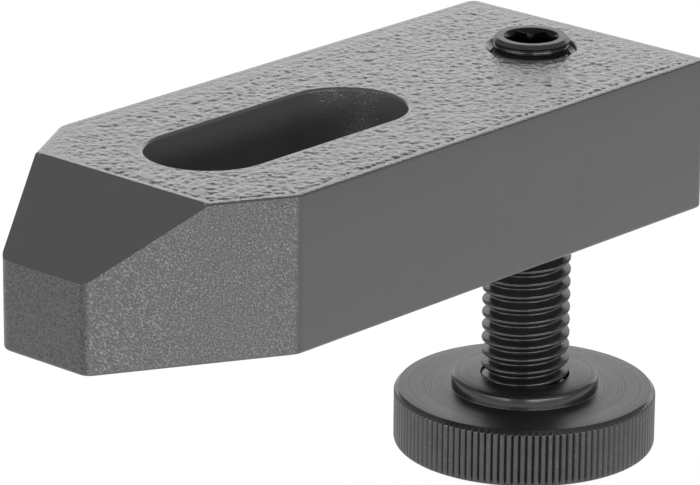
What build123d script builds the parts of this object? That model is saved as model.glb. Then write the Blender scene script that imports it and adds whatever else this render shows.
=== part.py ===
from build123d import *
import os
from math import cos, pi, radians, sin, tan

# Tapered strap clamp with a turned support screw and a knurled foot.
# Millimetres. X runs across the bar, Y from the nose to the heel, Z up.
# The origin is the centre of the stud slot on the bar's underside.

# Bar
LENGTH = 100.0
WIDTH = 40.0
HEIGHT = 20.0
NOSE_WIDTH = 14.0
NOSE_HEIGHT = 11.5
FLANK_ANGLE = 29.5
RAMP_LENGTH = 13.5
NOSE_CORNER = 2.0
SHOULDER_CORNER = 3.0
HEEL_CORNER = 1.2
EDGE_ROUND = 0.5

# Stud slot
SLOT_WIDTH = 16.0
SLOT_LENGTH = 40.0
NOSE_TO_SLOT = 40.5
SLOT_RIM = 0.4

# Support screw
SCREW_DIAMETER = 11.75
SCREW_LENGTH = 55.0
SCREW_POINT_DIAMETER = 9.1
SCREW_FROM_HEEL = 11.5
SCREW_STANDS_PROUD = 1.5
SOCKET_FLATS = 6.0
SOCKET_DEPTH = 8.0
SOCKET_MOUTH_DIAMETER = 7.4
SOCKET_DRILL_POINT = 1.2
SOCKET_TURN = -18.0

# Holes that the screw runs in
RUNNING_CLEARANCE = 0.07
BORE_MOUTH_STEP = 0.12

# Knurled foot
FOOT_DIAMETER = 34.6
FOOT_HEIGHT = 9.8
FOOT_TOP_CHAMFER = 0.12
FOOT_BASE_CHAMFER = 0.8
COLLAR_DIAMETER = 19.4
COLLAR_HEIGHT = 1.9
COLLAR_CHAMFER = 0.35
RIDGE_COUNT = 120
RIDGE_SHARE = 0.55
RIDGE_RISE = 0.13
GROOVE_DEPTH = 0.3
BAND_HEIGHT = 0.75
POINT_RECESS = 1.1

# Worked out from the dimensions above
NOSE_Y = -NOSE_TO_SLOT
HEEL_Y = NOSE_Y + LENGTH
SHOULDER_Y = NOSE_Y + (WIDTH - NOSE_WIDTH) / 2 / tan(radians(FLANK_ANGLE))
SCREW_Y = HEEL_Y - SCREW_FROM_HEEL
SCREW_TOP = HEIGHT + SCREW_STANDS_PROUD
SCREW_RADIUS = SCREW_DIAMETER / 2
BORE_RADIUS = SCREW_RADIUS + RUNNING_CLEARANCE
FOOT_BASE = SCREW_TOP - SCREW_LENGTH - POINT_RECESS
DISC_HEIGHT = FOOT_HEIGHT - COLLAR_HEIGHT
KNURL_HEIGHT = DISC_HEIGHT - BAND_HEIGHT
CUT_PAST = 1.0
NEAR = 0.01


def at_screw(z):
    return Location((0, SCREW_Y, z))


# Bar

def bar_outline():
    """Plan of the bar: a rectangle that tapers to a narrow nose."""
    half, nose = WIDTH / 2, NOSE_WIDTH / 2
    corners = [
        (-nose, NOSE_Y),
        (nose, NOSE_Y),
        (half, SHOULDER_Y),
        (half, HEEL_Y),
        (-half, HEEL_Y),
        (-half, SHOULDER_Y),
    ]
    face = make_face(Polyline(*corners, close=True))
    for y, radius in ((NOSE_Y, NOSE_CORNER), (SHOULDER_Y, SHOULDER_CORNER), (HEEL_Y, HEEL_CORNER)):
        picked = [v for v in face.vertices() if abs(v.Y - y) < NEAR]
        face = fillet(picked, radius)
    return face


def nose_ramp_cut():
    """Wedge above the sloping face that runs from the bar's top down to the nose."""
    slope = (HEIGHT - NOSE_HEIGHT) / RAMP_LENGTH
    profile = Plane.YZ * make_face(
        Polyline(
            (NOSE_Y - CUT_PAST, NOSE_HEIGHT - CUT_PAST * slope),
            (NOSE_Y + RAMP_LENGTH + CUT_PAST, HEIGHT + CUT_PAST * slope),
            (NOSE_Y - CUT_PAST, HEIGHT + CUT_PAST * slope),
            close=True,
        )
    )
    return extrude(profile, WIDTH / 2, both=True)


def slot_cut():
    outline = Rot(0, 0, 90) * SlotOverall(SLOT_LENGTH, SLOT_WIDTH)
    return extrude(Pos(0, 0, -CUT_PAST) * outline, HEIGHT + 2 * CUT_PAST)


def screw_hole(bottom, top):
    """Hole for the screw with a small countersink at both mouths."""
    reach = BORE_MOUTH_STEP + CUT_PAST
    hole = at_screw((bottom + top) / 2) * Cylinder(BORE_RADIUS, top - bottom + 2 * CUT_PAST)
    upper = at_screw(top - BORE_MOUTH_STEP + reach / 2) * Cone(BORE_RADIUS, BORE_RADIUS + reach, reach)
    lower = at_screw(bottom + BORE_MOUTH_STEP - reach / 2) * Cone(BORE_RADIUS + reach, BORE_RADIUS, reach)
    return hole + upper + lower


def slot_rims(solid):
    """Edges where the slot meets the top face and the underside."""
    rims = []
    for edge in solid.edges():
        box = edge.bounding_box()
        level = box.max.Z - box.min.Z < NEAR
        in_width = max(-box.min.X, box.max.X) < SLOT_WIDTH / 2 + NEAR
        in_length = max(-box.min.Y, box.max.Y) < SLOT_LENGTH / 2 + NEAR
        if level and in_width and in_length:
            rims.append(edge)
    return rims


def clamp_body():
    """The bar is one forged piece: tapered, ramped at the nose, slotted, and bored near the heel."""
    bar = extrude(bar_outline(), HEIGHT)
    rims = bar.faces().sort_by(Axis.Z)
    bar = fillet(rims[0].edges() + rims[-1].edges(), EDGE_ROUND)
    bar = bar - nose_ramp_cut() - slot_cut()
    bar = fillet(slot_rims(bar), SLOT_RIM)
    return bar - screw_hole(0, HEIGHT)


# Screw

def hex_socket():
    """Hexagon with a drill point at its floor and a small chamfer round its mouth."""
    depth = SOCKET_DEPTH
    hexagon = Rot(0, 0, SOCKET_TURN) * RegularPolygon(SOCKET_FLATS / 2, 6, major_radius=False)
    prism = extrude(at_screw(SCREW_TOP - depth) * hexagon, depth + CUT_PAST)
    mouth = SOCKET_MOUTH_DIAMETER / 2
    flare = at_screw(SCREW_TOP) * Cone(mouth - CUT_PAST, mouth + CUT_PAST, 2 * CUT_PAST)
    tip = SOCKET_DRILL_POINT
    drill = at_screw(SCREW_TOP - depth - tip / 2) * Cone(0, SOCKET_FLATS / 2, tip)
    return prism + flare + drill


def support_screw():
    """Set screw with a flat point at both ends."""
    shank = at_screw(SCREW_TOP - SCREW_LENGTH / 2) * Cylinder(SCREW_RADIUS, SCREW_LENGTH)
    ends = shank.edges().filter_by(GeomType.CIRCLE)
    shank = chamfer(ends, (SCREW_DIAMETER - SCREW_POINT_DIAMETER) / 2)
    return shank - hex_socket()


# Foot

def knurled_outline():
    """Straight knurl: flat ridges with V grooves between them."""
    crest, root = FOOT_DIAMETER / 2, FOOT_DIAMETER / 2 - GROOVE_DEPTH
    step = 2 * pi / RIDGE_COUNT
    points = []
    for i in range(RIDGE_COUNT):
        for turn, radius in ((0, crest), (RIDGE_SHARE, crest), ((1 + RIDGE_SHARE) / 2, root)):
            angle = (i + turn) * step
            points.append((radius * cos(angle), radius * sin(angle)))
    return make_face(Polyline(*points, close=True))


def knurled_rim():
    """Lower part of the disc: the knurl's ridges end at a chamfer at the base."""
    outer = FOOT_DIAMETER / 2
    profile = Plane.XZ * make_face(
        Polyline(
            (0, 0),
            (outer - FOOT_BASE_CHAMFER, 0),
            (outer, FOOT_BASE_CHAMFER),
            (outer, KNURL_HEIGHT),
            (0, KNURL_HEIGHT),
            close=True,
        )
    )
    return revolve(profile, Axis.Z) & extrude(knurled_outline(), KNURL_HEIGHT)


def plain_band():
    """Upper part of the disc, as turned. The ridges below it are pressed a little proud of it."""
    radius = FOOT_DIAMETER / 2 - RIDGE_RISE
    band = Pos(0, 0, KNURL_HEIGHT + BAND_HEIGHT / 2) * Cylinder(radius, BAND_HEIGHT)
    return chamfer(band.edges().group_by(Axis.Z)[-1], FOOT_TOP_CHAMFER)


def collar():
    ring = Pos(0, 0, DISC_HEIGHT + COLLAR_HEIGHT / 2) * Cylinder(COLLAR_DIAMETER / 2, COLLAR_HEIGHT)
    return chamfer(ring.edges().group_by(Axis.Z)[-1], COLLAR_CHAMFER)


def knurled_foot():
    """Hand wheel and foot in one: a knurled disc with a collar, bored for the screw."""
    foot = at_screw(FOOT_BASE) * (knurled_rim() + plain_band() + collar())
    return foot - screw_hole(FOOT_BASE, FOOT_BASE + FOOT_HEIGHT)


os.makedirs("parts", exist_ok=True)
pieces = {
    "clamp_body": clamp_body(),
    "support_screw": support_screw(),
    "knurled_foot": knurled_foot(),
}
for name, piece in pieces.items():
    export_step(piece, f"parts/{name}.step")
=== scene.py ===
from math import atan2, ceil, cos, hypot, pi, radians, sin, tan

import bmesh
import bpy
import numpy as np
from mathutils import Matrix, Vector, noise
from mathutils.geometry import delaunay_2d_cdt


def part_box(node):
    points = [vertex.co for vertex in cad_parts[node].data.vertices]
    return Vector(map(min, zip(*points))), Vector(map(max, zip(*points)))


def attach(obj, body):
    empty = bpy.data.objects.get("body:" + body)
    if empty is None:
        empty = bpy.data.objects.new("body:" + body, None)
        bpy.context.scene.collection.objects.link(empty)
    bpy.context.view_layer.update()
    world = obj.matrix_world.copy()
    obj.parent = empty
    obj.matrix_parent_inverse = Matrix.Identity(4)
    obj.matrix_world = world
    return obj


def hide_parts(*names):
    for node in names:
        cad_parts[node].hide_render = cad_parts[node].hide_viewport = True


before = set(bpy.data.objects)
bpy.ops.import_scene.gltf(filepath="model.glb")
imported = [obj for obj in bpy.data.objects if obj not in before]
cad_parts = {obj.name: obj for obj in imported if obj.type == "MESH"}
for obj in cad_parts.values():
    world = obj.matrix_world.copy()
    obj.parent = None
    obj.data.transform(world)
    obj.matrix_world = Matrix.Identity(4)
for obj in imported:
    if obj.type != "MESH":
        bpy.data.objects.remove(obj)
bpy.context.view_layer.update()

# Strap clamp: lacquered bar, black oxide screw with a real thread, black oxide knurled foot.
# Shapes are worked out in millimetres in the frame of the CAD and written in metres.

MM = 0.001

BAR_LOW, BAR_HIGH = [np.array(c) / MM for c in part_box("clamp_body")]
SCREW_LOW, SCREW_HIGH = [np.array(c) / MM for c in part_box("support_screw")]
FOOT_LOW, FOOT_HIGH = [np.array(c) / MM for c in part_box("knurled_foot")]

# Bar
HALF_WIDTH = BAR_HIGH[0]
NOSE_Y = BAR_LOW[1]
HEEL_Y = BAR_HIGH[1]
HEIGHT = BAR_HIGH[2]
NOSE_HALF_WIDTH = 7.0
NOSE_HEIGHT = 11.5
FLANK_ANGLE = radians(29.5)
RAMP_LENGTH = 13.5
NOSE_CORNER = 2.0
SHOULDER_CORNER = 3.0
HEEL_CORNER = 1.2
EDGE_ROUND = 0.5
SLOT_HALF_WIDTH = 8.0
SLOT_HALF_LENGTH = 20.0
SLOT_RIM = 0.4
BORE_MOUTH = 6.05

# Bar's mesh: rings follow the edges, and loose spots fill the flat faces between them
COLUMN_STEP = 0.20
TOP_STEP = 0.242
BASE_STEP = 1.1
ROW_RATIO = 0.866
SEED = 3
JITTER = 0.1
SPOT_MARGIN = 0.6
ROUND_STEPS = 4
EDGE_STEPS = 5
WALL_STEPS = 4
RING_INSETS = (0.0, 0.22, 0.40, 0.52)
EDGE_ROWS = (0.66, 0.80, 0.94, 1.08, 1.22)
BASE_RING = 0.56
SAME_POINT = 1e-6
SLIVER = 0.00001
MERGE = 0.002
NEAR = 0.01

# Relief of the top face: a lip along the edges, a ragged gutter beside it and a leathery skin inside
EDGE_DROP = 0.21
LIP_WIDTH = 0.50
RIM_WIDTH = 0.05
GUTTER_PLACE = 0.90
GUTTER_WIDTH = 0.20
GUTTER_DEPTH = 0.105
FAR_GUTTER_SHARE = 0.3
FAR_REACH = 2.5
RIM_GUTTER_SHARE = 0.3
RAGGED_SIZE = 0.8
RAGGED_MEAN = 0.85
RAGGED_SPREAD = 2.5
GUTTER_WANDER = 0.4
CREASE_DEPTH = 0.05
CREASE_SIZE = 1.2
CREASE_SHARE = 0.30
SWELL_DEPTH = 0.088
SWELL_SIZE = 0.85
FINE_SWELL_RATIO = 2.1
FINE_SWELL_SHARE = 0.3
SKIN_LIFT = 0.021
RAMP_ROWS = (-0.2, 0.14, LIP_WIDTH)

# Layers of the noise that the relief is drawn from, apart so that no two run alike
CREASE_LAYER = 3.1
SWELL_LAYER = 5.3
FINE_SWELL_LAYER = 9.1
RAGGED_LAYER = 11.3
WANDER_LAYER = 17.9

# Thread, M12 with a pitch of 1.75
PITCH = 1.75
CREST_RADIUS = 5.80
ROOT_RADIUS = 4.86
CREST_FLAT = 0.42
CREST_DOME = 0.03
FLANK_RISE = 1.732
THREAD_SOFTENING = 0.08
SOFTENING_STEPS = 5
NUT_GAP = 0.10
NUT_CREST_RADIUS = 5.15
NUT_ROOT_RADIUS = 6.0
TURN_STEPS = 96
PITCH_STEPS = 22
NUT_STEPS = 14

# Screw ends and socket
END_DEPTHS = (0, 0.5, 0.72, 1.1, 1.2, 1.32, 1.6, 2.0, 3.1)
END_RADII = (4.55, 5.05, 4.72, 4.72, 4.90, 4.90, 4.72, 4.75, 5.85)
POINT_RADIUS = 4.55
SOCKET_HALF_FLATS = 3.0
SOCKET_DEPTH = 8.0
SOCKET_MOUTH = 3.65
SOCKET_MOUTH_SLOPE = 1.07
SOCKET_ROWS = (0, 0.09, 0.18, 0.27, 0.36, 0.45, 0.54, 0.63, 2, 5, SOCKET_DEPTH)
SOCKET_FLOOR_STEP = 0.05
SOCKET_DRILL_POINT = 1.2
SOCKET_TURN = radians(-18.0)
TURN_ANGLES = SOCKET_TURN + np.arange(TURN_STEPS) * 2 * pi / TURN_STEPS

# Foot
FOOT_RADIUS = FOOT_HIGH[0]
DISC_HEIGHT = 7.9
FLAT_RADIUS = 16.74
BAND_RADIUS = 17.13
BAND_HEIGHT = 0.50
BAND_BREAK = 0.05
DISC_EDGE = ((0.01, 0.01), (0.06, 0), (2, 0))
RIDGE_END = 0.30
COLLAR_RADIUS = 9.7
COLLAR_HEIGHT = 1.9
COLLAR_FILLET = 0.14
COLLAR_EDGE = 0.36
COLLAR_RIM = ((0, COLLAR_EDGE), (0.03, COLLAR_EDGE - 0.05), (COLLAR_EDGE - 0.05, 0.03), (COLLAR_EDGE, 0))
BASE_ROUND = 1.0
BASE_STEPS = 8
GROOVE_DEPTH = 0.3
RIDGE_COUNT = 120
RIDGE_STEPS = 8
RIDGE_SHARE = 0.55
GROOVE_PLACE = 0.775
HOLE_RADIUS = 5.86
HOLE_CHAMFER = 0.3
HOLE_BREAK = 0.08

SCREW_Y = (FOOT_LOW[1] + FOOT_HIGH[1]) / 2
SCREW_TOP = SCREW_HIGH[2]
SCREW_BOTTOM = SCREW_LOW[2]
FOOT_BASE = FOOT_LOW[2]

# The floor lies where the foot comes to at the lower limit of its travel
FOOT_FALL = 9.45
FLOOR_Z = (FOOT_BASE - FOOT_FALL) * MM


# Meshes

class Shell:
    """Points and faces gathered in millimetres and written as one mesh."""

    def __init__(self):
        self.points = []
        self.faces = []

    def ring(self, points):
        start = len(self.points)
        self.points.extend(tuple(float(v) for v in p) for p in points)
        return list(range(start, len(self.points)))

    def strip(self, a, b):
        """Quads between two closed rings of as many points."""
        n = len(a)
        for i in range(n):
            j = (i + 1) % n
            self.faces.append((a[i], a[j], b[j], b[i]))

    def rings(self, rows):
        made = [self.ring(row) for row in rows]
        for a, b in zip(made, made[1:]):
            self.strip(a, b)
        return made

    def cap(self, ring, point):
        """Fan from a ring to one point."""
        top = self.ring([point])[0]
        n = len(ring)
        for i in range(n):
            self.faces.append((ring[i], ring[(i + 1) % n], top))

    def mesh(self, name):
        data = bpy.data.meshes.new(name)
        data.from_pydata([tuple(c * MM for c in p) for p in self.points], [], self.faces)
        bm = bmesh.new()
        bm.from_mesh(data)
        bmesh.ops.recalc_face_normals(bm, faces=bm.faces)
        for face in bm.faces:
            face.smooth = True
        bm.to_mesh(data)
        bm.free()
        return data


def add_piece(name, data, body, material, sharp=None):
    """Piece in the place of the CAD node named like its body. Edges past sharp degrees stay sharp."""
    piece = bpy.data.objects.new(name, data)
    bpy.context.scene.collection.objects.link(piece)
    data.materials.append(material)
    if sharp is not None:
        data.set_sharp_from_angle(angle=radians(sharp))
    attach(piece, body)
    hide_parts(body)


def quarter(steps):
    """Angles from 0 to a right angle."""
    return np.linspace(0, pi / 2, steps + 1)


def around(radius, z, angles):
    """Ring of points round the screw's axis. Radius and z are numbers or one value for each angle."""
    r = np.broadcast_to(radius, angles.shape)
    h = np.broadcast_to(z, angles.shape)
    return np.column_stack((r * np.cos(angles), SCREW_Y + r * np.sin(angles), h))


# Bar

def plan_corners():
    """Corners of the bar's outline with their radii, counterclockwise from the nose."""
    shoulder = NOSE_Y + (HALF_WIDTH - NOSE_HALF_WIDTH) / tan(FLANK_ANGLE)
    right = [
        (NOSE_HALF_WIDTH, NOSE_Y, NOSE_CORNER),
        (HALF_WIDTH, shoulder, SHOULDER_CORNER),
        (HALF_WIDTH, HEEL_Y, HEEL_CORNER),
    ]
    left = [(-x, y, radius) for x, y, radius in reversed(right)]
    return right + left


def bar_plan():
    """Points on the bar's outline and the inward direction at each, counterclockwise."""
    corners = plan_corners()
    count = len(corners)
    arcs = []
    for i, (x, y, radius) in enumerate(corners):
        before = np.array(corners[i - 1][:2])
        after = np.array(corners[(i + 1) % count][:2])
        here = np.array((x, y))
        way_in = (here - before) / np.linalg.norm(here - before)
        way_out = (after - here) / np.linalg.norm(after - here)
        first = np.array((-way_in[1], way_in[0]))
        last = np.array((-way_out[1], way_out[0]))
        centre = here + (first + last) * radius / (1 + first @ last)
        start = atan2(first[1], first[0])
        turn = (atan2(last[1], last[0]) - start) % (2 * pi)
        steps = max(ROUND_STEPS, ceil(radius * turn / COLUMN_STEP))
        angles = start + turn * np.arange(steps + 1) / steps
        inward = np.column_stack((np.cos(angles), np.sin(angles)))
        arcs.append((centre - radius * inward, inward))
    points, inward = [], []
    for i, (spots, ways) in enumerate(arcs):
        points.extend(spots)
        inward.extend(ways)
        end, start = spots[-1], arcs[(i + 1) % count][0][0]
        steps = ceil(np.linalg.norm(start - end) / COLUMN_STEP)
        for k in range(1, steps):
            points.append(end + (start - end) * k / steps)
            inward.append(ways[-1])
    return np.array(points), np.array(inward)


def slot_plan():
    """Points on the slot's outline and the direction away from the slot at each, counterclockwise."""
    reach = SLOT_HALF_LENGTH - SLOT_HALF_WIDTH
    straight = ceil(2 * reach / COLUMN_STEP)
    half_turn = ceil(pi * SLOT_HALF_WIDTH / COLUMN_STEP)
    points, outward = [], []
    for side in (1, -1):
        for angle in np.arange(half_turn) * pi / half_turn:
            way = side * np.array((cos(angle), sin(angle)))
            points.append(SLOT_HALF_WIDTH * way + np.array((0, side * reach)))
            outward.append(way)
        for k in range(straight):
            points.append(np.array((-side * SLOT_HALF_WIDTH, side * (reach - 2 * reach * k / straight))))
            outward.append(np.array((-side, 0)))
    return np.array(points), np.array(outward)


def from_outline(x, y):
    """Distance inside the nearest edge of the bar's flat top or base, before the ramp is cut."""
    flank = (NOSE_HALF_WIDTH - abs(x)) * cos(FLANK_ANGLE) + (y - NOSE_Y) * sin(FLANK_ANGLE)
    return min(HALF_WIDTH - abs(x), HEEL_Y - y, y - NOSE_Y, flank) - EDGE_ROUND


def from_slot(x, y):
    """Distance outside the slot's rounded rim."""
    return hypot(x, max(abs(y) - SLOT_HALF_LENGTH + SLOT_HALF_WIDTH, 0)) - SLOT_HALF_WIDTH - SLOT_RIM


def from_bore(x, y):
    """Distance outside the mouth of the screw's hole."""
    return hypot(x, y - SCREW_Y) - BORE_MOUTH


def creases(x, y):
    """Depth from 0 to 1 of the narrow winding creases between the cells of the skin."""
    wave = noise.noise((x / CREASE_SIZE, y / CREASE_SIZE, CREASE_LAYER))
    return max(0.0, 1 - abs(wave) / CREASE_SHARE)


def gutter_shape(distance):
    """Cross-section of a gutter, 1 in its middle."""
    return np.exp(-((distance / GUTTER_WIDTH) ** 2))


def relief(x, y):
    """Height of the top face's relief: a plain lip, a ragged gutter beside it and a leathery skin inside."""
    outer = max(0.0, min(from_outline(x, y), y - NOSE_Y - RAMP_LENGTH))
    inner = max(0.0, min(from_slot(x, y), from_bore(x, y)))
    far = x < -NOSE_HALF_WIDTH or y > HEEL_Y - FAR_REACH
    slope = FAR_REACH if far else LIP_WIDTH
    level = min(1, max(0, (outer - LIP_WIDTH) / slope), max(0, (inner - RIM_WIDTH) / LIP_WIDTH))
    ratio = FINE_SWELL_RATIO
    coarse = noise.noise((x / SWELL_SIZE, y / SWELL_SIZE, SWELL_LAYER))
    fine = noise.noise((ratio * x / SWELL_SIZE, ratio * y / SWELL_SIZE, FINE_SWELL_LAYER))
    swell = SWELL_DEPTH * (coarse + FINE_SWELL_SHARE * fine)
    skin = swell + CREASE_DEPTH * creases(x, y) - SKIN_LIFT
    torn = noise.noise((x / RAGGED_SIZE, y / RAGGED_SIZE, RAGGED_LAYER))
    ragged = min(1, max(0.0, RAGGED_MEAN + RAGGED_SPREAD * torn))
    wander = GUTTER_WANDER * noise.noise((x / RAGGED_SIZE, y / RAGGED_SIZE, WANDER_LAYER))
    gutter = (FAR_GUTTER_SHARE if far else 1) * gutter_shape(outer - GUTTER_PLACE + wander)
    rim = RIM_GUTTER_SHARE * gutter_shape(from_slot(x, y) - RIM_WIDTH - LIP_WIDTH / 2)
    return -level * skin - GUTTER_DEPTH * ragged * max(gutter, rim)


def top_height(x, y):
    return HEIGHT + relief(x, y)


def base_height(x, y):
    return 0.0


def nut_radius(z, angles):
    """Radius of the bar's thread, clear of the screw, with a countersink at both mouths."""
    thread = np.clip(thread_radius(z, angles) + NUT_GAP, NUT_CREST_RADIUS, NUT_ROOT_RADIUS)
    return np.maximum(thread, BORE_MOUTH - min(z, HEIGHT - z))


def flat_region(shell, outer, holes, height, spots, clear):
    """Triangles between an outer ring and the rings round its holes, which are all set in by clear."""
    loops = [outer, *holes]
    index = [i for loop in loops for i in loop]
    coords = [Vector(shell.points[i][:2]) for i in index]
    edges, start = [], 0
    for loop in loops:
        edges.extend((start + k, start + (k + 1) % len(loop)) for k in range(len(loop)))
        start += len(loop)
    known = len(coords)
    coords.extend(Vector(spot) for spot in spots)
    found = delaunay_2d_cdt(coords, edges, [], 1, SAME_POINT, True)
    made_points, triangles, sources = found[0], found[2], found[3]
    names = []
    for point, source in zip(made_points, sources):
        old = [s for s in source if s < known]
        if old:
            names.append(index[old[0]])
        else:
            names.extend(shell.ring([(point.x, point.y, height(point.x, point.y))]))
    for a, b, c in triangles:
        middle = (made_points[a] + made_points[b] + made_points[c]) / 3
        if min(from_outline(*middle), from_slot(*middle), from_bore(*middle)) > clear + SLIVER:
            shell.faces.append((names[a], names[b], names[c]))


def inner_spots(step, margin, rng, start=NOSE_Y, edge=0.0):
    """Staggered points of a flat face, a margin off its holes and off its outline, there edge at least."""
    spots = []
    row_step = step * ROW_RATIO
    for row in range(int((HEEL_Y - start) / row_step)):
        for column in range(int(2 * HALF_WIDTH / step) + 1):
            x = -HALF_WIDTH + (column + row % 2 / 2 + rng.uniform(-JITTER, JITTER)) * step
            y = start + (row + rng.uniform(-JITTER, JITTER)) * row_step
            if min(from_slot(x, y), from_bore(x, y)) > margin and from_outline(x, y) > max(margin, edge):
                spots.append((x, y))
    return spots


def top_spots(plan, inward, rng):
    """Points of the top face: rows along the outer edges and the ramp, and staggered points between them."""
    margin = RING_INSETS[-1] + SPOT_MARGIN * TOP_STEP
    ramp_top = NOSE_Y + RAMP_LENGTH
    start = ramp_top + LIP_WIDTH + TOP_STEP
    spots = inner_spots(TOP_STEP, margin, rng, start, EDGE_ROWS[-1] + SPOT_MARGIN * TOP_STEP)
    for inset in EDGE_ROWS:
        for x, y in plan + (EDGE_ROUND + inset) * inward:
            if from_outline(x, y) > inset - NEAR and y > start:
                spots.append((x, y))
    for y in ramp_top + np.array(RAMP_ROWS):
        for x in np.arange(-HALF_WIDTH, HALF_WIDTH, TOP_STEP):
            if from_outline(x, y) > margin:
                spots.append((x, y))
    return spots


def level_row(line, ways, inset, height):
    """Copy of a line, moved along its ways, at the height of a face."""
    return [(x, y, height(x, y)) for x, y in line + inset * ways]


def outer_rows(plan, inward):
    """Rows of the bar's outside, from the underside up to the top face."""
    rows = [level_row(plan, inward, EDGE_ROUND + inset, base_height) for inset in (BASE_RING, 0)]
    for t in quarter(ROUND_STEPS)[1:]:
        z = EDGE_ROUND * (1 - cos(t))
        rows.append([(x, y, z) for x, y in plan + EDGE_ROUND * (1 - sin(t)) * inward])
    for z in np.linspace(EDGE_ROUND, HEIGHT - EDGE_DROP, WALL_STEPS)[1:]:
        rows.append([(x, y, z) for x, y in plan])
    for t in quarter(EDGE_STEPS)[1:]:
        z = HEIGHT - EDGE_DROP * (1 - sin(t))
        rows.append([(x, y, z) for x, y in plan + EDGE_ROUND * (1 - cos(t)) * inward])
    for inset in RING_INSETS[1:]:
        rows.append(level_row(plan, inward, EDGE_ROUND + inset, top_height))
    return rows


def slot_rows(slot, outward):
    """Rows of the slot's wall with its rounded rims, from the underside up to the top face."""
    rows = [level_row(slot, outward, SLOT_RIM + inset, base_height) for inset in (BASE_RING, 0)]
    for t in quarter(ROUND_STEPS)[1:]:
        z = SLOT_RIM * (1 - cos(t))
        rows.append([(x, y, z) for x, y in slot + SLOT_RIM * (1 - sin(t)) * outward])
    for z in np.linspace(SLOT_RIM, HEIGHT - SLOT_RIM, WALL_STEPS)[1:]:
        rows.append([(x, y, z) for x, y in slot])
    for t in quarter(ROUND_STEPS)[1:]:
        z = HEIGHT - SLOT_RIM * (1 - sin(t))
        rows.append([(x, y, z) for x, y in slot + SLOT_RIM * (1 - cos(t)) * outward])
    for inset in RING_INSETS[1:]:
        rows.append(level_row(slot, outward, SLOT_RIM + inset, top_height))
    return rows


def bore_rows():
    """Rows of the threaded hole, from the underside up to the top face."""
    rows = [around(BORE_MOUTH + BASE_RING, 0, TURN_ANGLES)]
    steps = int(round(HEIGHT / PITCH * NUT_STEPS))
    for z in np.linspace(0, HEIGHT, steps + 1):
        rows.append(around(nut_radius(z, TURN_ANGLES), z, TURN_ANGLES))
    for inset in RING_INSETS[1:]:
        mouth = around(BORE_MOUTH + inset, HEIGHT, TURN_ANGLES)
        rows.append([(x, y, top_height(x, y)) for x, y, _ in mouth])
    return rows


def cut_ramp(data):
    """Cuts the bar off at the ramp's plane and closes it there with a sharp-edged face."""
    bm = bmesh.new()
    bm.from_mesh(data)
    slope = Vector((0, NOSE_HEIGHT - HEIGHT, RAMP_LENGTH)).normalized()
    cut = bmesh.ops.bisect_plane(
        bm,
        geom=[*bm.verts, *bm.edges, *bm.faces],
        plane_co=(0, NOSE_Y * MM, NOSE_HEIGHT * MM),
        plane_no=slope,
        clear_outer=True,
    )
    on_cut = [g for g in cut["geom_cut"] if isinstance(g, bmesh.types.BMVert)]
    bmesh.ops.remove_doubles(bm, verts=on_cut, dist=MERGE * MM)
    rim = [edge for edge in bm.edges if edge.is_boundary]
    filled = bmesh.ops.triangle_fill(bm, edges=rim, use_beauty=True, normal=slope)
    for face in filled["geom"]:
        if isinstance(face, bmesh.types.BMFace):
            face.smooth = True
            if face.normal.dot(slope) < 0:
                face.normal_flip()
    for edge in rim:
        if edge.is_valid:
            edge.smooth = False
    bm.to_mesh(data)
    bm.free()


def bar_mesh():
    """Bar with rounded edges, skinned top, slot and threaded bore, cut off by the ramp's plane."""
    shell = Shell()
    rng = np.random.default_rng(SEED)
    plan, inward = bar_plan()
    slot, outward = slot_plan()
    skin = shell.rings(outer_rows(plan, inward))
    slot_rings = shell.rings(slot_rows(slot, outward))
    bore_rings = shell.rings(bore_rows())
    spots = top_spots(plan, inward, rng)
    flat_region(shell, skin[-1], [slot_rings[-1], bore_rings[-1]], top_height, spots, RING_INSETS[-1])
    spots = inner_spots(BASE_STEP, BASE_RING + SPOT_MARGIN * BASE_STEP, rng)
    flat_region(shell, skin[0], [slot_rings[0], bore_rings[0]], base_height, spots, BASE_RING)
    data = shell.mesh("bar")
    cut_ramp(data)
    return data


# Thread

def thread_radius(z, angles):
    """Radius of the screw's right-hand thread: flat crests, straight flanks and softened edges."""
    total = 0
    shifts = np.linspace(-THREAD_SOFTENING, THREAD_SOFTENING, SOFTENING_STEPS)
    for shift in shifts:
        climb = z + shift - PITCH * angles / (2 * pi)
        away = PITCH * np.abs((climb / PITCH + 0.5) % 1 - 0.5)
        dome = CREST_DOME * np.minimum(1, 2 * away / CREST_FLAT) ** 2
        flank = FLANK_RISE * np.maximum(0, away - CREST_FLAT / 2)
        total = total + np.maximum(ROOT_RADIUS, CREST_RADIUS - dome - flank)
    return total / len(shifts)


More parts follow.
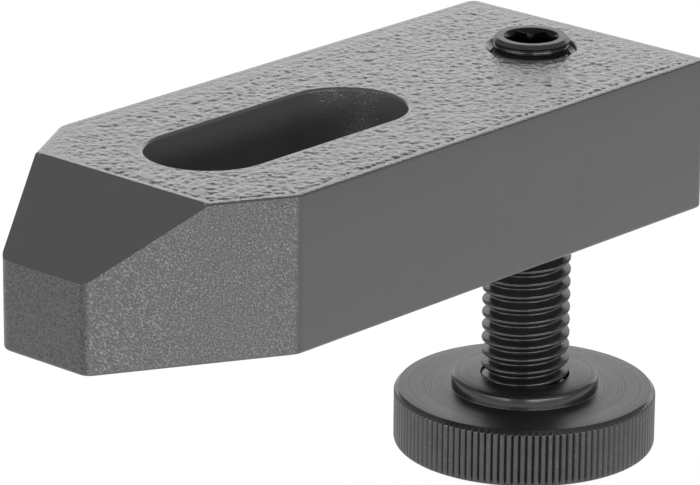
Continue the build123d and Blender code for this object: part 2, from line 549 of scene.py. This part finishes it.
def screw_mesh():
    """Threaded shank with a point at both ends and a hexagon socket at the top."""
    shell = Shell()
    step = PITCH / PITCH_STEPS
    rows = int(round((SCREW_TOP - SCREW_BOTTOM) / step))
    body = []
    for z in np.linspace(SCREW_BOTTOM, SCREW_TOP, rows + 1):
        point = min(POINT_RADIUS + z - SCREW_BOTTOM, np.interp(SCREW_TOP - z, END_DEPTHS, END_RADII))
        body.append(around(np.minimum(thread_radius(z, TURN_ANGLES), point), z, TURN_ANGLES))
    shaft = shell.rings(body)
    shell.cap(shaft[0], (0, SCREW_Y, SCREW_BOTTOM))
    turned = (TURN_ANGLES - SOCKET_TURN) % (pi / 3) - pi / 6
    hexagon = SOCKET_HALF_FLATS / np.cos(turned)
    wall = []
    for depth in SOCKET_ROWS:
        mouth = SOCKET_MOUTH - SOCKET_MOUTH_SLOPE * depth
        wall.append(around(np.maximum(hexagon, mouth), SCREW_TOP - depth, TURN_ANGLES))
    wall.append(around(SOCKET_HALF_FLATS - SOCKET_FLOOR_STEP, SCREW_TOP - SOCKET_DEPTH, TURN_ANGLES))
    socket = shell.rings(wall)
    shell.strip(shaft[-1], socket[0])
    shell.cap(socket[-1], (0, SCREW_Y, SCREW_TOP - SOCKET_DEPTH - SOCKET_DRILL_POINT))
    return shell.mesh("screw")


# Foot

def foot_mesh():
    """Knurled disc with a collar. The ridges end under a plain turned band and at the base's edge."""
    shell = Shell()
    count = RIDGE_COUNT * RIDGE_STEPS
    angles = np.arange(count) * 2 * pi / count
    place = np.abs((np.arange(count) / RIDGE_STEPS - GROOVE_PLACE) % 1 - 0.5) * 2
    groove = np.clip((place - RIDGE_SHARE) / (1 - RIDGE_SHARE), 0, 1)
    knurl = FOOT_RADIUS - GROOVE_DEPTH * groove
    rows = [
        around(HOLE_RADIUS, FOOT_BASE + DISC_HEIGHT / 2, angles),
        around(HOLE_RADIUS, FOOT_BASE + HOLE_CHAMFER, angles),
        around(HOLE_RADIUS + HOLE_CHAMFER, FOOT_BASE, angles),
    ]
    for t in quarter(BASE_STEPS):
        edge = FOOT_RADIUS - BASE_ROUND * (1 - sin(t))
        rows.append(around(np.minimum(edge, knurl), FOOT_BASE + BASE_ROUND * (1 - cos(t)), angles))
    disc_top = FOOT_BASE + DISC_HEIGHT
    band_base = disc_top - BAND_HEIGHT
    for t in quarter(ROUND_STEPS)[::-1]:
        radius = BAND_RADIUS + (knurl - BAND_RADIUS) * sin(t)
        rows.append(around(radius, band_base - RIDGE_END * (1 - cos(t)), angles))
    slope = (BAND_RADIUS - FLAT_RADIUS) / BAND_HEIGHT
    rows.append(around(FLAT_RADIUS + slope * BAND_BREAK, disc_top - BAND_BREAK, angles))
    for inset, depth in DISC_EDGE:
        rows.append(around(FLAT_RADIUS - inset, disc_top - depth, angles))
    for t in quarter(ROUND_STEPS):
        reach = COLLAR_FILLET * (1 - sin(t))
        rows.append(around(COLLAR_RADIUS + reach, disc_top + COLLAR_FILLET * (1 - cos(t)), angles))
    collar_top = disc_top + COLLAR_HEIGHT
    for inset, depth in COLLAR_RIM:
        rows.append(around(COLLAR_RADIUS - inset, collar_top - depth, angles))
    rows.append(around(HOLE_RADIUS + HOLE_BREAK, collar_top, angles))
    rows.append(around(HOLE_RADIUS, collar_top - HOLE_BREAK, angles))
    made = shell.rings(rows)
    shell.strip(made[-1], made[0])
    return shell.mesh("foot")


# Materials
# Colours are linear and lengths are in millimetres.
# A grain is a noise's scale and its detail. A range is the two ends of what goes in
# and then of what comes out, 0 and 1 where they are left out.

COAT_DARK = (0.084, 0.082, 0.083)
COAT_LIGHT = (0.099, 0.096, 0.098)
# Painted shade inside the slot
SLOT_PAINTED_SHADE = (0.094, 0.092, 0.093)
COAT_ROUGHNESS = 0.20
COAT_SPECULAR = 0.7
COAT_CLOUDS = 0.12
STIPPLE_GRAIN = (1.35, 0.5)
LEATHER_GRAIN = (2.0, 1.0)
NIB_GRAIN = (2.4, 0.0)
FINE_GRAIN = (1.6, 3.0)
PEEL_DEPTH = 0.24
LEATHER_DEPTH = 0.06
NIB_DEPTH = 0.012
FINE_DEPTH = 0.022
UPRIGHT_RANGE = (0.5, 0.2)
FRONTAL_RANGE = (-0.25, -0.45)
SLANTED_RANGE = (-0.90, -0.70)
LEVEL_RANGE = (0.88, 0.92)
# Painted glints and painted pit shade in the orange peel's colour
GLINT_PAINT_RANGE = (0.52, 0.72, 0.072, 0.285)
PIT_SHADE_RANGE = (0.34, 0.52, -0.080, 0.0)
NIB_RANGE = (0.70, 0.80)
SLANTED_PIT_SHADE = 0.35
SLOT_PEEL = 0.2
SLOT_SLACK = 0.1

SCREW_DARK = (0.0, 0.0, 0.0)
SCREW_LIGHT = (0.108, 0.108, 0.109)
SCREW_METALLIC = 0.85
SCREW_TINT = (0.6, 0.6, 0.6, 1)
SCREW_CLOUDS = 0.6
SCREW_RUBS = 3
SCREW_CLOUD_RANGE = (0.3, 0.7, 0.8, 1.0)
SCREW_ROUGHNESS_RANGE = (0.3, 0.7, 0.15, 0.24)
# Painted shade inside the socket
SOCKET_SHADE_RANGE = (SOCKET_MOUTH - 0.1, SOCKET_MOUTH, 0.25, 1.0)

KNURL_DARK = (0.060, 0.060, 0.061)
KNURL_LIGHT = (0.150, 0.150, 0.152)
TURNED_DARK = (0.052, 0.052, 0.053)
TURNED_LIGHT = (0.122, 0.122, 0.123)
FOOT_METALLIC = 0.8
FOOT_TINT = (0.85, 0.85, 0.85, 1)
FOOT_ANISOTROPY = 0.55
KNURL_INSIDE = 15
KNURL_CLOUDS = 0.4
RUB_GRAIN = (3.2, 0.0)
RING_GRAIN = (2.2, 4.0)
RING_NOISE_ROUGHNESS = 0.75
FOOT_FINE_GRAIN = (6.0, 1.0)
RING_DEPTH = 0.06
FOOT_FINE_DEPTH = 0.006
FOOT_LEVEL_RANGE = (0.90, 0.96)
RAISED_RANGE = (FOOT_RADIUS - 0.26, FOOT_RADIUS - 0.04)
KNURL_CLOUD_RANGE = (0.3, 0.7, 0.40, 0.60)
RUB_RANGE = (0.70, 0.76, 0.0, 0.5)
RING_RANGE = (0.35, 0.65)
FOOT_ROUGHNESS_RANGE = (0, 1, 0.18, 0.31)


def put(tree, socket, value):
    if isinstance(value, bpy.types.NodeSocket):
        tree.links.new(value, socket)
    else:
        socket.default_value = value


def material(name):
    """New material with its node tree and its shader."""
    made = bpy.data.materials.new(name)
    made.use_nodes = True
    tree = made.node_tree
    return made, tree, tree.nodes["Principled BSDF"]


def millimetres(tree):
    """The object's own coordinates in millimetres."""
    place = tree.nodes.new("ShaderNodeTexCoord")
    scaled = tree.nodes.new("ShaderNodeVectorMath")
    scaled.operation = "SCALE"
    tree.links.new(place.outputs["Object"], scaled.inputs[0])
    scaled.inputs["Scale"].default_value = 1 / MM
    return scaled.outputs[0]


def grain(tree, place, scale, detail=2.0, rough=0.5):
    """Noise from 0 to 1."""
    made = tree.nodes.new("ShaderNodeTexNoise")
    tree.links.new(place, made.inputs["Vector"])
    made.inputs["Scale"].default_value = scale
    made.inputs["Detail"].default_value = detail
    made.inputs["Roughness"].default_value = rough
    return made.outputs["Fac"]


def spread(tree, value, low, high, to_low=0.0, to_high=1.0):
    """Value that runs from to_low to to_high as another runs from low to high."""
    made = tree.nodes.new("ShaderNodeMapRange")
    tree.links.new(value, made.inputs["Value"])
    for key, number in (("From Min", low), ("From Max", high), ("To Min", to_low), ("To Max", to_high)):
        made.inputs[key].default_value = number
    return made.outputs["Result"]


def bump(tree, height, depth, before=None, strength=None):
    made = tree.nodes.new("ShaderNodeBump")
    tree.links.new(height, made.inputs["Height"])
    if strength is not None:
        tree.links.new(strength, made.inputs["Strength"])
    made.inputs["Distance"].default_value = depth * MM
    if before is not None:
        tree.links.new(before, made.inputs["Normal"])
    return made.outputs["Normal"]


def tint(tree, value, dark, light):
    """Colour that runs from dark to light as the value runs from 0 to 1."""
    return blend(tree, value, (*dark, 1), (*light, 1))


def split(tree, vector):
    made = tree.nodes.new("ShaderNodeSeparateXYZ")
    tree.links.new(vector, made.inputs[0])
    return made.outputs


def arithmetic(tree, operation, a, b=None):
    made = tree.nodes.new("ShaderNodeMath")
    made.operation = operation
    put(tree, made.inputs[0], a)
    if b is not None:
        put(tree, made.inputs[1], b)
    return made.outputs[0]


def product(tree, first, *others):
    for other in others:
        first = arithmetic(tree, "MULTIPLY", first, other)
    return first


def below(tree, value, limit):
    return arithmetic(tree, "LESS_THAN", value, limit)


def from_axis(tree, spot):
    """Distance from the screw's axis."""
    x, y = spot["X"], arithmetic(tree, "SUBTRACT", spot["Y"], SCREW_Y)
    square = arithmetic(tree, "ADD", product(tree, x, x), product(tree, y, y))
    return arithmetic(tree, "SQRT", square)


def blend(tree, factor, a, b):
    """Colour a where the factor is 0 and colour b where it is 1."""
    made = tree.nodes.new("ShaderNodeMix")
    made.data_type = "RGBA"
    tree.links.new(factor, made.inputs["Factor"])
    put(tree, made.inputs["A"], a)
    put(tree, made.inputs["B"], b)
    return made.outputs["Result"]


def along(tree, place, way):
    made = tree.nodes.new("ShaderNodeVectorMath")
    made.operation = "DOT_PRODUCT"
    tree.links.new(place, made.inputs[0])
    made.inputs[1].default_value = way
    return made.outputs["Value"]


def dragged(tree, place):
    """Coordinates that stretch a grain down the slope from the heel to the nose."""
    made = tree.nodes.new("ShaderNodeCombineXYZ")
    for key, way in (("X", (1.0, 1.5, -1.9)), ("Y", (1.9, 3.0, 3.6)), ("Z", (2.6, -1.5, 0))):
        tree.links.new(along(tree, place, way), made.inputs[key])
    return made.outputs[0]


def lacquer():
    """Grey lacquer: orange peel on the faces that look towards the nose, smoother on the rest. Painted
    glints and painted pit shade mottle the peel's colour, and the slot gets one plain colour as painted
    shade.
    """
    made, tree, shader = material("grey_lacquer")
    place = millimetres(tree)
    spot = split(tree, place)
    way = split(tree, tree.nodes.new("ShaderNodeTexCoord").outputs["Normal"])
    upright = spread(tree, arithmetic(tree, "ABSOLUTE", way["Z"]), *UPRIGHT_RANGE)
    frontal = spread(tree, way["Y"], *FRONTAL_RANGE)
    level = spread(tree, way["Z"], *LEVEL_RANGE)
    in_width = below(tree, arithmetic(tree, "ABSOLUTE", spot["X"]), SLOT_HALF_WIDTH + SLOT_SLACK)
    in_length = below(tree, arithmetic(tree, "ABSOLUTE", spot["Y"]), SLOT_HALF_LENGTH + SLOT_SLACK)
    in_slot = product(tree, in_width, in_length, upright)
    peeled = product(tree, upright, frontal, spread(tree, in_slot, 1, 0, SLOT_PEEL))
    coat = tint(tree, grain(tree, place, COAT_CLOUDS), COAT_DARK, COAT_LIGHT)

    # Painted glints as light specks and painted shade in the dark pits of the orange peel, weaker pits on
    # the tapered flanks; the painted glints also lighten the tapered flanks as a whole
    stipple = grain(tree, dragged(tree, place), *STIPPLE_GRAIN)
    slanted = spread(tree, way["Y"], *SLANTED_RANGE)
    painted_glints = product(tree, spread(tree, stipple, *GLINT_PAINT_RANGE), slanted)
    share = spread(tree, slanted, 0, 1, 1, SLANTED_PIT_SHADE)
    painted_pit_shade = product(tree, spread(tree, stipple, *PIT_SHADE_RANGE), share)
    painted_peel_light = product(tree, arithmetic(tree, "ADD", painted_glints, painted_pit_shade), peeled)
    coat_and_painted_peel = tree.nodes.new("ShaderNodeVectorMath")
    coat_and_painted_peel.operation = "ADD"
    tree.links.new(coat, coat_and_painted_peel.inputs[0])
    tree.links.new(painted_peel_light, coat_and_painted_peel.inputs[1])
    # Painted shade in the slot: one plain colour there in place of the mottled coat
    shade = blend(tree, in_slot, coat_and_painted_peel.outputs[0], (*SLOT_PAINTED_SHADE, 1))
    tree.links.new(shade, shader.inputs["Base Color"])
    shader.inputs["Roughness"].default_value = COAT_ROUGHNESS
    shader.inputs["Specular IOR Level"].default_value = COAT_SPECULAR

    peel = bump(tree, stipple, PEEL_DEPTH, strength=peeled)
    leather = bump(tree, grain(tree, place, *LEATHER_GRAIN), LEATHER_DEPTH, before=peel, strength=level)
    nibs = spread(tree, grain(tree, place, *NIB_GRAIN), *NIB_RANGE)
    skin = bump(tree, nibs, NIB_DEPTH, before=leather)
    fine = bump(tree, grain(tree, place, *FINE_GRAIN), FINE_DEPTH, before=skin)
    tree.links.new(fine, shader.inputs["Normal"])
    return made


def screw_oxide():
    """Glossy black oxide, with painted shade darkening the inside of the socket."""
    made, tree, shader = material("black_oxide_screw")
    place = millimetres(tree)
    cloud = grain(tree, place, SCREW_CLOUDS)
    radius = from_axis(tree, split(tree, place))
    # Painted shade inside the socket: the colour drops to a quarter within the socket's mouth
    outside = spread(tree, radius, *SOCKET_SHADE_RANGE)
    tone_and_socket_shade = product(tree, spread(tree, cloud, *SCREW_CLOUD_RANGE), outside)
    tree.links.new(tint(tree, tone_and_socket_shade, SCREW_DARK, SCREW_LIGHT), shader.inputs["Base Color"])
    shader.inputs["Metallic"].default_value = SCREW_METALLIC
    shader.inputs["Specular Tint"].default_value = SCREW_TINT
    rubs = spread(tree, grain(tree, place, SCREW_RUBS), *SCREW_ROUGHNESS_RANGE)
    tree.links.new(rubs, shader.inputs["Roughness"])
    return made


def foot_oxide():
    """Turned faces carry fine rings and a brushed sheen, and the knurl is a little lighter."""
    made, tree, shader = material("black_oxide_foot")
    place = millimetres(tree)
    spot = split(tree, place)
    way = split(tree, tree.nodes.new("ShaderNodeTexCoord").outputs["Normal"])
    level = spread(tree, way["Z"], *FOOT_LEVEL_RANGE)
    radius = from_axis(tree, spot)
    band_base = FOOT_BASE + DISC_HEIGHT - BAND_HEIGHT
    knurled = product(tree, below(tree, KNURL_INSIDE, radius), below(tree, spot["Z"], band_base))

    raised = spread(tree, radius, *RAISED_RANGE)
    worn = product(tree, raised, spread(tree, grain(tree, place, KNURL_CLOUDS), *KNURL_CLOUD_RANGE))
    rubbed = spread(tree, grain(tree, place, *RUB_GRAIN), *RUB_RANGE)
    pressed = tint(tree, arithmetic(tree, "ADD", worn, rubbed), KNURL_DARK, KNURL_LIGHT)

    line = tree.nodes.new("ShaderNodeCombineXYZ")
    tree.links.new(radius, line.inputs["X"])
    rings = grain(tree, line.outputs[0], *RING_GRAIN, RING_NOISE_ROUGHNESS)
    turned = tint(tree, spread(tree, rings, *RING_RANGE), TURNED_DARK, TURNED_LIGHT)
    tree.links.new(blend(tree, knurled, turned, pressed), shader.inputs["Base Color"])
    shader.inputs["Metallic"].default_value = FOOT_METALLIC
    shader.inputs["Specular Tint"].default_value = FOOT_TINT

    shader.inputs["Anisotropic"].default_value = FOOT_ANISOTROPY
    tangent = tree.nodes.new("ShaderNodeTangent")
    tangent.direction_type = "RADIAL"
    tangent.axis = "Z"
    tree.links.new(tangent.outputs["Tangent"], shader.inputs["Tangent"])
    wall = arithmetic(tree, "MAXIMUM", level, knurled)
    tree.links.new(spread(tree, wall, *FOOT_ROUGHNESS_RANGE), shader.inputs["Roughness"])
    turning = bump(tree, rings, RING_DEPTH, strength=level)
    fine = bump(tree, grain(tree, place, *FOOT_FINE_GRAIN), FOOT_FINE_DEPTH, before=turning)
    tree.links.new(fine, shader.inputs["Normal"])
    return made


# Studio

CAMERA_PLACE = (0.40288, -0.43126, 0.20712)
CAMERA_FORWARD = (-0.63527, 0.70116, -0.32374)
CAMERA_RIGHT = (0.73943, 0.67320, 0.00706)
FOCAL_LENGTH = 259.56
SENSOR_WIDTH = 36.0
CLIP_START = 0.01
CLIP_END = 50
CAMERA_AZIMUTH = 42.15

# Name, turn from the camera's azimuth, elevation, distance, width, height and radiance
LAMPS = (
    ("left_softbox", -56, 12, 1.2, 1.5, 0.20, 3.8),
    ("right_softbox", 36, 12, 1.2, 1.4, 0.20, 5.2),
    ("back_panel", 174, 18, 1.5, 2.1, 0.78, 1.3),
)

WORLD_RANGE = (0.40, 0.90, 0.40, 0.36)
FLOOR_REACH = 8.0
FLOOR_COLOUR = (0.85, 0.85, 0.85, 1)
FLOOR_ROUGHNESS = 0.9
FLOOR_GLOW = 1.155
GLOW_SHARE = 0.80
WHITE = (1, 1, 1, 1)


def add_camera():
    """Camera fitted to the bar's edges, without shift or depth of field."""
    data = bpy.data.cameras.new("camera")
    data.lens = FOCAL_LENGTH
    data.sensor_width = SENSOR_WIDTH
    data.clip_start = CLIP_START
    data.clip_end = CLIP_END
    camera = bpy.data.objects.new("camera", data)
    bpy.context.scene.collection.objects.link(camera)
    forward = Vector(CAMERA_FORWARD).normalized()
    right = Vector(CAMERA_RIGHT)
    right = (right - forward * right.dot(forward)).normalized()
    up = right.cross(forward)
    turn = Matrix((right, up, -forward)).transposed()
    camera.matrix_world = Matrix.Translation(CAMERA_PLACE) @ turn.to_4x4()
    bpy.context.scene.camera = camera


def softbox(name, azimuth, elevation, distance, width, height, radiance):
    """Area lamp that faces the object. Azimuth 0 is in front of the nose and 90 at the +X side."""
    data = bpy.data.lights.new(name, "AREA")
    data.shape = "RECTANGLE"
    data.size = width
    data.size_y = height
    data.energy = radiance * pi * width * height
    lamp = bpy.data.objects.new(name, data)
    bpy.context.scene.collection.objects.link(lamp)
    a, e = radians(azimuth), radians(elevation)
    back = Vector((sin(a) * cos(e), -cos(a) * cos(e), sin(e)))
    lamp.location = back * distance
    lamp.rotation_mode = "QUATERNION"
    lamp.rotation_quaternion = back.to_track_quat("Z", "Y")
    lamp.visible_camera = False


def mix_shaders(tree, share, first, second):
    made = tree.nodes.new("ShaderNodeMixShader")
    tree.links.new(share, made.inputs[0])
    tree.links.new(first.outputs[0], made.inputs[1])
    tree.links.new(second.outputs[0], made.inputs[2])
    return made


def add_world():
    """Soft even light from all round, a little weaker from above. The camera sees plain white."""
    world = bpy.data.worlds.new("studio")
    bpy.context.scene.world = world
    world.use_nodes = True
    tree = world.node_tree
    light = tree.nodes["Background"]
    white = tree.nodes.new("ShaderNodeBackground")
    for background in (light, white):
        background.inputs["Color"].default_value = WHITE
    white.inputs["Strength"].default_value = 1.0
    place = tree.nodes.new("ShaderNodeTexCoord")
    up = split(tree, place.outputs["Generated"])
    level = spread(tree, up["Z"], *WORLD_RANGE)
    tree.links.new(level, light.inputs["Strength"])
    seen = tree.nodes.new("ShaderNodeLightPath").outputs["Is Camera Ray"]
    mixed = mix_shaders(tree, seen, light, white)
    tree.links.new(mixed.outputs[0], tree.nodes["World Output"].inputs["Surface"])


def add_floor():
    """Pale floor that keeps the object's shadow. From below, the camera sees through it."""
    far = FLOOR_REACH
    data = bpy.data.meshes.new("floor")
    corners = [(x, y, FLOOR_Z) for x, y in ((-far, -far), (far, -far), (far, far), (-far, far))]
    data.from_pydata(corners, [], [(0, 1, 2, 3)])
    floor = bpy.data.objects.new("floor", data)
    bpy.context.scene.collection.objects.link(floor)
    made, tree, shader = material("pale_floor")
    shader.inputs["Base Color"].default_value = FLOOR_COLOUR
    shader.inputs["Roughness"].default_value = FLOOR_ROUGHNESS
    glow = tree.nodes.new("ShaderNodeEmission")
    glow.inputs["Strength"].default_value = FLOOR_GLOW
    path = tree.nodes.new("ShaderNodeLightPath").outputs
    seen = arithmetic(tree, "MAXIMUM", path["Is Camera Ray"], path["Is Glossy Ray"])
    pale = mix_shaders(tree, product(tree, seen, GLOW_SHARE), shader, glow)
    side = tree.nodes.new("ShaderNodeNewGeometry").outputs["Backfacing"]
    from_below = product(tree, path["Is Camera Ray"], side)
    mixed = mix_shaders(tree, from_below, pale, tree.nodes.new("ShaderNodeBsdfTransparent"))
    tree.links.new(mixed.outputs[0], tree.nodes["Material Output"].inputs["Surface"])
    data.materials.append(made)


add_piece("screw", screw_mesh(), "support_screw", screw_oxide(), sharp=40)
add_piece("foot", foot_mesh(), "knurled_foot", foot_oxide(), sharp=35)
add_piece("bar", bar_mesh(), "clamp_body", lacquer())

add_camera()
add_world()
add_floor()
for name, turn, *rest in LAMPS:
    softbox(name, CAMERA_AZIMUTH + turn, *rest)

bpy.context.scene.view_settings.view_transform = "Standard"
